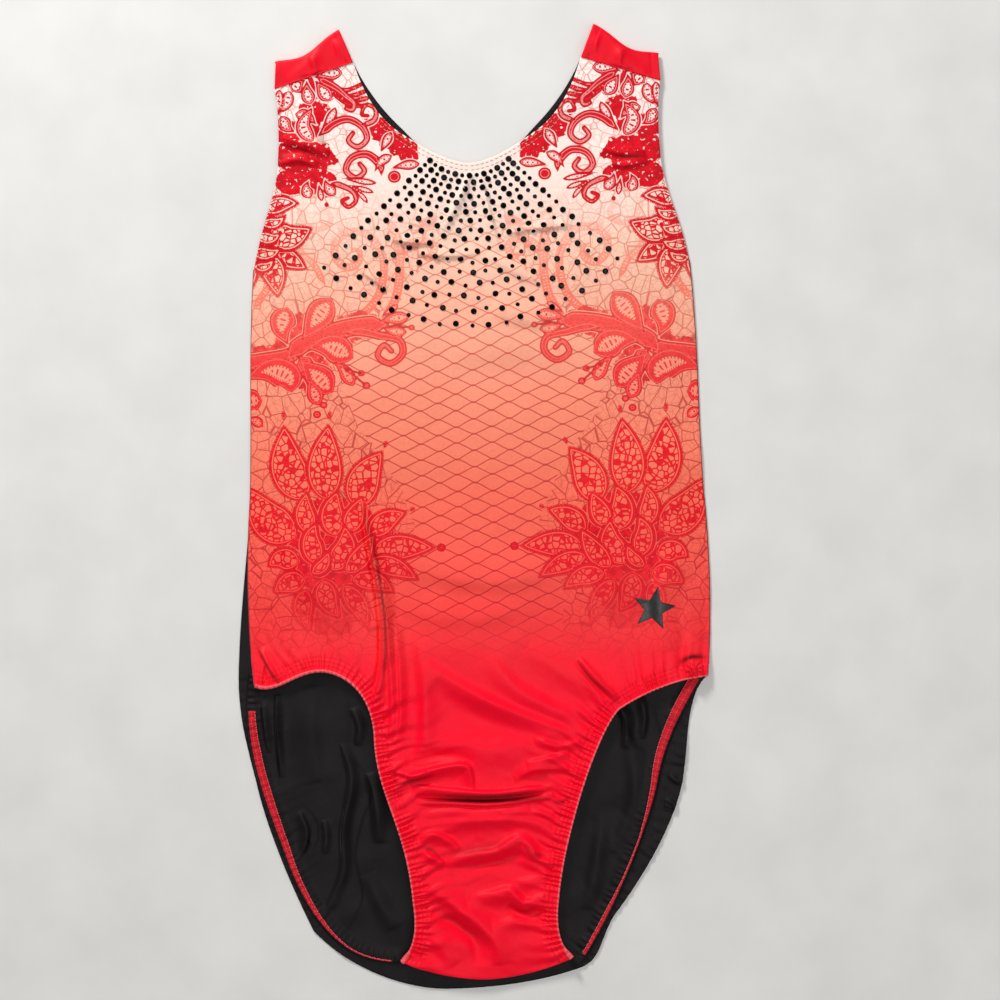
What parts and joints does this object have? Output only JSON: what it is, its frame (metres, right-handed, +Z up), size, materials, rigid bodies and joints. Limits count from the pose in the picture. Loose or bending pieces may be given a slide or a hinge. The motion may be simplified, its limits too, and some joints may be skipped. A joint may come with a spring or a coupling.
{
  "type": "gymnastics leotard",
  "caption": "Sleeveless gymnastics leotard lying flat, front up: printed lace front, black back, red shoulder yokes, black crystals below the neckline and a star on the hip.",
  "frame": {"origin": "centre of the underside of the box around the whole garment, on the surface it lies on", "axes": "+X to the right as seen from above with the shoulders up, +Y from the crotch to the shoulders, +Z up out of the front panel"},
  "size_m": [0.3064, 0.6226, 0.0096],
  "materials": {
    "printed_front_fabric": "satin printed spandex, pale at the shoulders and saturated red at the crotch",
    "black_back_fabric": "matt black stretch knit",
    "red_yoke_fabric": "satin red spandex",
    "lining_fabric": "matt knit",
    "elastic": "woven elastic",
    "seam_allowance": "overlocked fabric edges",
    "pale_thread": "polyester thread",
    "dark_thread": "polyester thread",
    "red_thread": "polyester thread",
    "black_crystal": "polished, faceted",
    "black_transfer": "heat-transferred print"
  },
  "bodies": {
    "root": {"front_panel": "printed_front_fabric", "back_panel": "black_back_fabric", "gusset_lining": "lining_fabric", "left_shoulder_yoke": "red_yoke_fabric", "right_shoulder_yoke": "red_yoke_fabric", "neck_elastic": "elastic", "left_armhole_elastic": "elastic", "right_armhole_elastic": "elastic", "left_leg_elastic": "elastic", "right_leg_elastic": "elastic", "left_side_seam": "seam_allowance", "right_side_seam": "seam_allowance", "crotch_seam": "seam_allowance", "left_front_yoke_seam": "seam_allowance", "right_front_yoke_seam": "seam_allowance", "left_back_yoke_seam": "seam_allowance", "right_back_yoke_seam": "seam_allowance", "front_neck_topstitch": "pale_thread", "back_neck_topstitch": "dark_thread", "left_armhole_topstitch": "red_thread", "right_armhole_topstitch": "red_thread", "left_front_leg_topstitch": "red_thread", "right_front_leg_topstitch": "red_thread", "left_back_leg_topstitch": "red_thread", "right_back_leg_topstitch": "red_thread", "large_crystals": "black_crystal", "small_crystals": "black_crystal", "hip_emblem": "black_transfer"}
  },
  "joints": []
}
